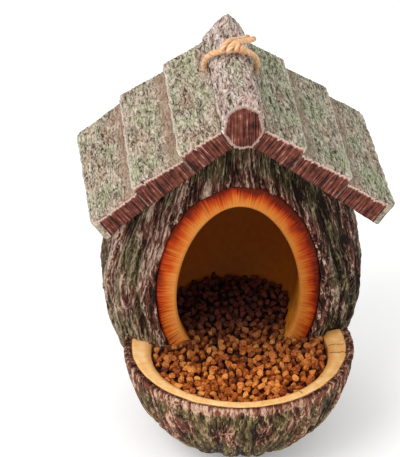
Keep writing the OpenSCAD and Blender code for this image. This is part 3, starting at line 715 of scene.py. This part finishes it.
depths = np.r_[np.linspace(RING_BACK - 0.0002, ROUND_START, 26)[:-1],
               ROUND_START + CHAMBER_ROUND * sin(np.linspace(0, pi / 2 - 0.004, 44))][:, None]
turn = full_turn(pocket_columns)
outline = egg(turn, DOOR_HALF_W, DOOR_HALF_H, DOOR_DROOP) * chamber_share(depths)[..., None]
points = spots(outline[..., 0], depths, DOOR_HEIGHT + outline[..., 1])
uneven = 0.0006 * noise(points / 0.016, 79) * fade(depths, RING_BACK, -0.03)
points = points + spots(cos(turn), 0, sin(turn)) * uneven[..., None]
faces = sheet_faces(len(depths), pocket_columns, closed=True)
faces.append(list(range((len(depths) - 1) * pocket_columns, len(depths) * pocket_columns)))
pocket = add_piece("chamber_wood", points, faces, [ochre], "chamber_wood", "chamber_lining",
                   deep=np.repeat(depths - RING_BACK, pocket_columns))
shell = pocket.modifiers.new("wall", "SOLIDIFY")
shell.thickness = CHAMBER_WALL
shell.offset = -1

# The roof is six lapped boards of bark, three to a slope. Each is thickest at its lower edge,
# a worn pale lip that stands over the next board, and shows red-brown end grain in front.
BOARD_FRONT, BOARD_BACK, BOARD_THIN, BOARD_LIP, EAVE_LIP = -0.060, 0.058, 0.0125, 0.004, 0.003
BOARD_EDGES = (0.0, 0.035, 0.069, 0.1035)
CORNER_RADIUS, ROOF_RIDGE = 0.006, 0.0034
BOARD_CELL, BOARD_WIDE_CELLS, BOARD_THICK_CELLS, BOARD_LONG_CELLS = 0.00062, 56, 20, 176
# From one streak of the roof's bark to the next: a pale crest, a crack and a plate.
ROOF_STEPS = ((0.0, 0.85), (0.14, 0.5), (0.26, 0.2), (0.5, 0.5), (0.8, 0.55), (1.0, 0.85))
ROOF_RIDGE_SIZE = (0.0075, 0.02)
# The two slopes are one bark, the right painted darker in its tones and strip as painted shade, the left
# paler as painted light.
LEFT_LIT_TONES = (62, 50, 42), (132, 116, 98), (177, 162, 142), (218, 208, 190)
RIGHT_SHADED_TONES = (54, 48, 38), (120, 112, 94), (165, 155, 135), (210, 202, 184)


def block(cells):
    """Points from 0 to 1 on the outside of a block, their faces, and the side that each face is on."""
    size = np.array(cells) + 1
    faces, sides = [], []
    for axis in range(3):
        first, second = [a for a in range(3) if a != axis]
        i, j = np.meshgrid(np.arange(cells[first]), np.arange(cells[second]), indexing="ij")
        for end in (0, 1):
            corners = []
            for di, dj in ((0, 0), (1, 0), (1, 1), (0, 1)):
                place = np.zeros(i.shape + (3,), int)
                place[..., first], place[..., second] = i + di, j + dj
                place[..., axis] = end * cells[axis]
                corners.append((place[..., 0] * size[1] + place[..., 1]) * size[2] + place[..., 2])
            quads = np.stack(corners, -1).reshape(-1, 4)
            faces.append(quads[:, ::-1] if (end == 0) == (axis != 1) else quads)
            sides += [2 * axis + end] * len(quads)
    used, faces = np.unique(np.concatenate(faces), return_inverse=True)
    lattice = spots(used // size[2] // size[1], used // size[2] % size[1], used % size[2])
    return lattice / cells, faces.reshape(-1, 4), np.array(sides)


def roof_paint(name, tones, green, pink, strip):
    """Paint of a roof board: pale bark with dark flecks, tinted green and pink in patches, a brushed lip
    and a plain strip below the board above."""
    material, tree, shader = paint(name, 0.7, 0.12)
    streaks = speckle(tree, (0.0015, 0.0015, 0.007), 3, 0.6)
    flecks = speckle(tree, (0.0007, 0.0007, 0.0022), 2)
    broad = speckle(tree, (0.0045, 0.0045, 0.02), 3, 0.6)
    patches = speckle(tree, (0.011, 0.011, 0.024), 3)
    level = ridge_level(tree, added(tree, 0.0, (streaks, 1.2)), ROOF_STEPS)
    level = added(tree, level, (marked(tree, "height"), 0.6), (streaks, 0.9), (flecks, 1.0), (broad, 1.1))
    vein = ramp(tree, broad, (0.485, 0), (0.505, 0.4), (0.525, 0))
    level = maths(tree, "ADD", vein, level)
    shade = ramp(tree, level, *zip((0.08, 0.3, 0.64, 1.0), tones))
    hue = ramp(tree, patches, (0.36, green), (0.5, 1), (0.64, pink))
    shade = mixed(tree, 0.85, shade, hue, "MULTIPLY")
    shade = mixed(tree, marked(tree, "strip"), shade, mixed(tree, 0.5, strip, shade))
    shade = mixed(tree, marked(tree, "lip"), shade, tones[3])
    finish_paint(tree, shader, shade, level, 0.0007)
    return material


def near_end(share, cells):
    """1 at the end of a row of cells, and 0 from its second cell on."""
    return clamp(1 - share * cells / 1.5)


def board(name, side, row, paints, seed, lip=BOARD_LIP, droop=0.0, slant=0.0):
    """One board of a row down the slope. Side -1 is the left slope. The board's lower edge is thicker by
    lip and hangs lower by droop. An eave board's is cut slanting and has rounded corners."""
    upper, lower = BOARD_EDGES[row:row + 2]
    across_cells = round((lower - upper) / BOARD_CELL)
    place, faces, sides = block((across_cells, BOARD_THICK_CELLS, BOARD_LONG_CELLS))
    across, thick, along = place.T
    is_eave = row == 2
    y = BOARD_FRONT + (BOARD_BACK - BOARD_FRONT) * along
    line = spots(seed, 0, y / 0.011)
    wander = 0.0011 * noise(line, seed) + 0.0006 * noise(line * (1, 1, 3), seed + 1)
    corner = clamp(1 - np.minimum(y - BOARD_FRONT, BOARD_BACK - y) / CORNER_RADIUS)
    corner = CORNER_RADIUS * (1 - sqrt(1 - corner**2)) * (0.9 if is_eave else 0.15)
    wander = np.minimum(wander - 0.0003, 0) if is_eave else wander + 0.0004
    low_edge = lower + slant * along - corner + wander
    s = upper + (low_edge - upper) * across
    width = lower + max(slant, 0) - upper
    top = BOARD_THIN + (lip - droop) * (s - upper) / width
    bottom = -droop * clamp(2 * (s - upper) / width - 1)
    grain = spots(s, seed, y)
    from_lip = low_edge - s
    weave = spots(0.8 * noise(grain / (0.006, 1, 0.012), seed + 2), 0, 0)
    height = 0.5 + 0.8 * noise(grain / (0.0016, 1, 0.0065) + weave, seed + 3)
    height = clamp(height + 0.5 * noise(grain / (0.0011, 1, 0.003), seed + 4))
    strip_edge = s - upper + 0.007 * noise(line * (1, 1, 0.6), seed + 10)
    strip = (1 - fade(strip_edge, 0.004, 0.0125)) * (row > 0)
    height = height * (1 - 0.6 * strip) + 0.3 * strip
    brushed = 1 - fade(from_lip, 0.0008, 0.0022)
    broad = noise(grain / (0.012, 1, 0.03), seed + 5)
    swell = 0.0011 * (height - 0.6) + 0.0007 * broad + 0.0003 * brushed
    nick = clamp(noise(spots(s / 0.0016, seed, 0), seed + 6) + 0.1)
    round_off = clamp(1 - from_lip / 0.0016) ** 2 * (0.0014 if is_eave else 0.0008)
    round_off += clamp(1 - (y - BOARD_FRONT) / 0.0024) ** 2 * (0.0004 + 0.0034 * nick)
    round_off += clamp(1 - (BOARD_BACK - y) / 0.0024) ** 2 * (0.0006 + 0.002 * nick)
    h = bottom + thick * (top - bottom + (swell - round_off) * fade(thick, 0.35, 1))
    # Cuts run across the front end, and the lower edge and the underside are roughly hewn.
    cut = noise(spots(s / 0.0012, h / 0.012, seed), seed + 7)
    deep = clamp(noise(spots(s / 0.0036, h / 0.05, seed), seed + 8) - 0.1)
    y = y + (0.0006 * (cut + 0.2) + 0.0022 * deep) * near_end(along, BOARD_LONG_CELLS)
    y = y - 0.0006 * np.abs(cut) * near_end(1 - along, BOARD_LONG_CELLS)
    at_edge = near_end(1 - across, BOARD_WIDE_CELLS)
    s = s - at_edge * 0.0005 * (0.5 + noise(spots(h / 0.004, seed, y / 0.006), seed + 9))
    h = h + (1 - fade(thick, 0, 0.2)) * 0.0005 * noise(spots(s / 0.003, 0, y / 0.014), seed + 11)
    x = (s * cos(ROOF_SLOPE) + h * sin(ROOF_SLOPE)) * side
    z = ROOF_APEX - s * sin(ROOF_SLOPE) + h * cos(ROOF_SLOPE)
    if row == 0:
        # The upper board stops at the log's side, where it is hollowed to fit it.
        off_log = hypot(x / (LOG_HALF_W + 0.0002), (z - LOG_HEIGHT) / (LOG_HALF_H + 0.0002))
        x = x + side * clamp(1 - off_log) * LOG_HALF_W
    ridges = bark_ridges(s / ROOF_RIDGE, spots(s, seed, y), *ROOF_RIDGE_SIZE, seed + 12)
    lip_mark = brushed * fade(thick, 0.6, 1) * (0.3 if is_eave else 0.8)
    piece = add_piece(
        name + "_bark", spots(x, y, z), faces[:, ::side], paints, "roof_bark", name, grain=spots(s, h, y),
        height=height, ridge=ridge_mark(ridges), lip=lip_mark, strip=strip,
        edge=fade(thick + 0.12 * cut, 0.86, 0.96))
    piece.data.polygons.foreach_set("material_index", (sides >= 4).astype(np.int32))


# The boards' and the log's cut ends are red-brown, with cuts across them and a pink brushed edge.
cut_end, tree, shader = paint("board end paint", 0.65, 0.15)
cuts = speckle(tree, (0.00095, 0.022, 0.04), 2.5, 0.6)
stains = speckle(tree, (0.004, 0.004, 0.02), 3, 0.6)
level = added(tree, cuts, (stains, 0.45))
shade = ramp(tree, level, (0.37, (34, 14, 10)), (0.44, (84, 40, 30)), (0.6, (118, 64, 50)),
             (0.7, (176, 128, 114)))
shade = mixed(tree, marked(tree, "edge"), shade, (208, 174, 160))
finish_paint(tree, shader, shade, level, 0.0008)

roof_left = roof_paint(
    "left slope paint", LEFT_LIT_TONES, (0.86, 1.0, 0.84, 1), (1.0, 0.86, 0.82, 1), (158, 118, 98))
roof_right = roof_paint(
    "right slope paint", RIGHT_SHADED_TONES, (0.84, 1.0, 0.82, 1), (1.0, 0.88, 0.82, 1), (146, 118, 98))
board("left_upper_board", -1, 0, (roof_left, cut_end), 70)
board("left_middle_board", -1, 1, (roof_left, cut_end), 170)
board("right_upper_board", 1, 0, (roof_right, cut_end), 130)
board("right_middle_board", 1, 1, (roof_right, cut_end), 230)
board("left_eave_board", -1, 2, (roof_left, cut_end), 270, EAVE_LIP, droop=0.0037, slant=0.004)
board("right_eave_board", 1, 2, (roof_right, cut_end), 330, EAVE_LIP, slant=-0.004)

# A round log lies along the ridge between the upper boards. Its bark is brushed paler than
# theirs, its crest is pinched towards the front, and its nose is a rough cut of seven sides.
LOG_NOSE, LOG_LEAN, LOG_ROUND = -0.063, 0.0024, 0.0145
NOSE_SIDES, LOG_RIDGES, LOG_SPIRAL = 7, 26, 40
LOG_TONES = (52, 38, 36), (132, 110, 100), (192, 172, 160), (232, 218, 208)
END_SHARES = np.linspace(0.96, 0.02, 24)
log_columns, log_rows = 150, 200
turn = full_turn(log_columns)
y = np.linspace(LOG_NOSE, BOARD_BACK, log_rows)[:, None]
power = np.interp(-y, (-0.056, 0, 0.060), (1.25, 1.8, 2.3))
power = np.where(sin(turn) > 0, 2 / power, 1)
lean = LOG_LEAN * clamp(y / 0.056) * clamp(sin(turn))
side_turn = (turn + 0.2) % (2 * pi / NOSE_SIDES) - pi / NOSE_SIDES
flatness = 0.75 * (1 - fade(y, LOG_NOSE, LOG_NOSE + 0.014))
hewn = 1 - (1 - cos(pi / NOSE_SIDES) / cos(side_turn)) * flatness
size = hewn * np.interp(y, (LOG_NOSE, -0.0615, BOARD_FRONT, 0.056, BOARD_BACK), (0.91, 0.97, 1, 1, 0.96))
grain = on_circle(turn, LOG_ROUND, y)
height = 0.5 + 0.8 * noise(grain / (0.0018, 0.0018, 0.0065), 83)
height = clamp(height + 0.5 * noise(grain / (0.0011, 0.0011, 0.003), 85))
knobs = noise(grain / (0.009, 0.009, 0.018), 87)
ridges = bark_ridges(LOG_RIDGES * turn / (2 * pi) + LOG_SPIRAL * y, grain, *ROOF_RIDGE_SIZE, 91)
swell = 0.0012 * (height - 0.7) + 0.0008 * np.minimum(knobs, 0.3)
swell = np.where(y > 0.05, np.minimum(swell, 0), swell)
x = (size * LOG_HALF_W + swell) * squared(cos(turn), power) + lean
z = LOG_HEIGHT + (size * LOG_HALF_H + swell) * squared(sin(turn), power)
# Each end is a run of rings from the bark's last one inwards, with grooves up and down.
shares = END_SHARES[:, None]
ends = []
for row, inward in ((0, 1), (-1, -1)):
    ring_x = x[row] * shares
    ring_z = LOG_HEIGHT + (z[row] - LOG_HEIGHT) * shares
    groove = np.abs(noise(spots(ring_x / 0.0017, ring_z / 0.03, 0), 89))
    ends.append(spots(ring_x, y[row] + inward * 0.0007 * groove, ring_z).reshape(-1, 3))
end_points = np.vstack(ends)
faces = sheet_faces(log_rows, log_columns, closed=True, flipped=True)
count = log_rows * log_columns
materials = [0] * len(faces)
ring = np.arange(log_columns)
following = (ring + 1) % log_columns
for first, near_row, flip in ((count, 0, 1), (count + len(ends[0]), count - log_columns, -1)):
    more = spots(near_row + ring, near_row + following, first + following, first + ring).tolist()
    more += sheet_faces(len(shares), log_columns, first, closed=True)
    more.append((first + (len(shares) - 1) * log_columns + ring).tolist())
    faces += [f[::flip] for f in more]
    materials += [1] * len(more)
end_zeros = np.zeros(len(end_points))
end_share = np.tile(np.repeat(END_SHARES, log_columns), 2)
nose_lip = (1 - fade(y, LOG_NOSE, LOG_NOSE + 0.002)) * 0.5
log_paint = roof_paint(
    "ridge log paint", LOG_TONES, (0.88, 1.0, 0.82, 1), (1.0, 0.86, 0.84, 1), (190, 150, 124))
log = add_piece(
    "ridge_log_bark", np.vstack([spots(x, y, z).reshape(-1, 3), end_points]), faces,
    (log_paint, cut_end), "roof_bark", "ridge_log",
    grain=np.vstack([grain.reshape(-1, 3), end_points[:, [0, 2, 1]]]),
    height=np.r_[height.ravel(), end_zeros + 0.5], ridge=ridge_mark(np.r_[ridges.ravel(), end_zeros]),
    edge=0.8 * np.r_[np.ones(count), fade(end_share, 0.88, 0.97)],
    lip=np.r_[np.repeat(nose_lip, log_columns), end_zeros], strip=np.zeros(count + len(end_points)))
log.data.polygons.foreach_set("material_index", materials)

# The feed is a crumble of pellets of about 5 mm. It fills the bowl and the doorway and lies
# heaped in the chamber, brown with some pellets nearly orange, over a rough bed of crumbs.
FEED_LEVEL, FEED_CLIMB, FEED_HEAP, HEAP_BACK = 0.061, 0.006, 0.007, 0.0235
FEED_FRONT, FEED_SIDE, CLIMB_LENGTH = -0.107, 0.054, 0.064
BOWL_FEED_RADIUS, FEED_MARGIN, BED_DEPTH = 0.0529, 0.0016, 0.0042
# Each layer of pellets has its spacing, and how far its pellets are sunk.
PELLET_LAYERS = ((0.0038, 0.001), (0.0037, 0.0038))
PELLET_SIZES, PELLET_TRIES, PELLET_CUTS = (0.0022, 0.0028), 14000, 7
bed_rows, bed_columns = 80, 70


def feed_level(y):
    """Height of the feed, which climbs from the bowl's front to the doorway and on to the heap."""
    climb = clamp((y - FEED_FRONT) / CLIMB_LENGTH)
    heap = clamp((y - RING_FACE) / (HEAP_BACK - RING_FACE))
    return FEED_LEVEL + FEED_CLIMB * climb + FEED_HEAP * heap


def feed_half(y):
    """Half width of the feed at a distance from the trunk's middle."""
    in_bowl = sqrt(np.clip(BOWL_FEED_RADIUS**2 - (y - HOLLOW_FRONT) ** 2, 0, None))
    share = chamber_share(np.maximum(y, RING_FACE))
    low = clamp((DOOR_HEIGHT - feed_level(y)) / np.maximum(share * DOOR_HALF_H, 1e-4))
    in_chamber = share * DOOR_HALF_W * sqrt(1 - low**2) * (1 + DOOR_DROOP * low)
    return np.where(y < -0.0425, in_bowl, in_chamber - 0.0004)


pellet_paint, tree, shader = paint("feed", 0.7, 0.3)
crumbs = speckle(tree, (0.0013, 0.0013, 0.0013), 3, 0.6, node(tree, "TexCoord", 3))
tone = added(tree, marked(tree, "tone"), (crumbs, 1.3))
shade = ramp(tree, tone, (0.05, (52, 16, 4)), (0.3, (128, 54, 12)), (0.6, (198, 104, 30)),
             (0.9, (238, 158, 78)))
# Painted shade darkens the feed towards the back of the doorway and the chamber.
shade = mixed(tree, marked(tree, "deep"), shade, (0.09, 0.035, 0.035, 1), "MULTIPLY")
finish_paint(tree, shader, shade, crumbs, 0.0008)

random = np.random.default_rng(97)
places = []
for spacing, sunk in PELLET_LAYERS:
    chosen = np.zeros((0, 2))
    for x, y in zip(random.uniform(-FEED_SIDE, FEED_SIDE, PELLET_TRIES),
                    random.uniform(FEED_FRONT, HEAP_BACK, PELLET_TRIES)):
        off_middle = hypot(x, max(HOLLOW_FRONT - y, 0))
        if abs(x) > feed_half(y) - FEED_MARGIN or off_middle > BOWL_FEED_RADIUS - FEED_MARGIN:
            continue
        if len(chosen) and np.min(hypot(chosen[:, 0] - x, chosen[:, 1] - y)) < spacing:
            continue
        chosen = np.vstack([chosen, (x, y)])
    lift = random.uniform(-0.0009, 0.0011, len(chosen))
    places.append(np.column_stack([chosen, feed_level(chosen[:, 1]) - sunk + lift]))
ball = bmesh.new()
bmesh.ops.create_icosphere(ball, subdivisions=2, radius=1)
ball_points = np.array([v.co for v in ball.verts])
ball_faces = np.array([[v.index for v in f.verts] for f in ball.faces])
ball.free()
pellets, tones = [], []
for place in np.vstack(places):
    axes = np.linalg.qr(random.normal(size=(3, 3)))[0]
    form = ball_points * random.uniform(0.85, 1.3, 3)
    for _ in range(PELLET_CUTS):
        flat_side = unit(random.normal(size=3))
        beyond = np.clip(form @ flat_side - random.uniform(0.4, 0.75), 0, None)
        form = form - beyond[:, None] * flat_side
    pellets.append(place + form @ axes * random.uniform(*PELLET_SIZES))
    # Pellets sunk among the others are painted darker, as painted shade.
    buried = place[2] < feed_level(place[1]) - 0.0028
    tones.append(random.triangular(0.2, 0.62, 1) - 0.3 * buried)
firsts = np.arange(len(pellets)) * len(ball_points)
faces = (ball_faces + firsts[:, None, None]).reshape(-1, 3).tolist()
bed_y = np.linspace(-0.1055, HEAP_BACK, bed_rows)[:, None]
bed = spots(np.linspace(-1, 1, bed_columns) * feed_half(bed_y), bed_y, feed_level(bed_y) - BED_DEPTH)
bed[..., 2] += 0.0012 * noise(bed / 0.003, 103)
points = np.vstack(pellets + [bed.reshape(-1, 3)])
faces += sheet_faces(bed_rows, bed_columns, len(pellets) * len(ball_points))
# The bed under the pellets takes the darkest tone, as painted shade between them.
add_piece(
    "feed_pellets", points, faces, [pellet_paint], "feed", "feed", smooth=False,
    deep=fade(points[:, 1], -0.088, -0.012),
    tone=np.r_[np.repeat(tones, len(ball_points)), np.zeros(bed_rows * bed_columns)])

# A plain white studio floor, a large soft lamp at the upper left, a weak one at the right and
# white all around.
FLOOR_HALF, LAMP_AIM = 6, Vector((0, -0.02, 0.11))
floor_mesh = bpy.data.meshes.new("floor")
corners = [(x * FLOOR_HALF, y * FLOOR_HALF, 0) for x, y in ((-1, -1), (1, -1), (1, 1), (-1, 1))]
floor_mesh.from_pydata(corners, [], [(0, 1, 2, 3)])
floor = add_object("floor", floor_mesh)
white, tree, shader = paint("floor", 0.9, 0.0)
shader.inputs["Base Color"].default_value = colour(0.95)
shader.inputs["Emission Color"].default_value = colour(1)
shader.inputs["Emission Strength"].default_value = 0.16
floor.data.materials.append(white)


def lamp(name, place, size, power):
    light = add_object(name, bpy.data.lights.new(name, "AREA"))
    light.data.size = size
    light.data.energy = power
    light.location = place
    light.rotation_euler = (LAMP_AIM - Vector(place)).to_track_quat("-Z", "Y").to_euler()


lamp("key", (-1.1, -0.9, 1.5), 1.2, 20)
lamp("fill", (1.2, -1.3, 0.9), 1.0, 2)
world = bpy.data.worlds.new("studio")
bpy.context.scene.world = world
world.use_nodes = True
tree = world.node_tree
path = node(tree, "LightPath")
seen = maths(tree, "MAXIMUM", path, path.node.outputs["Is Glossy Ray"])
strength = maths(tree, "MULTIPLY_ADD", seen, 0.12, 0.88)
tree.nodes["Background"].inputs["Color"].default_value = colour(1)
tree.links.new(strength, tree.nodes["Background"].inputs["Strength"])
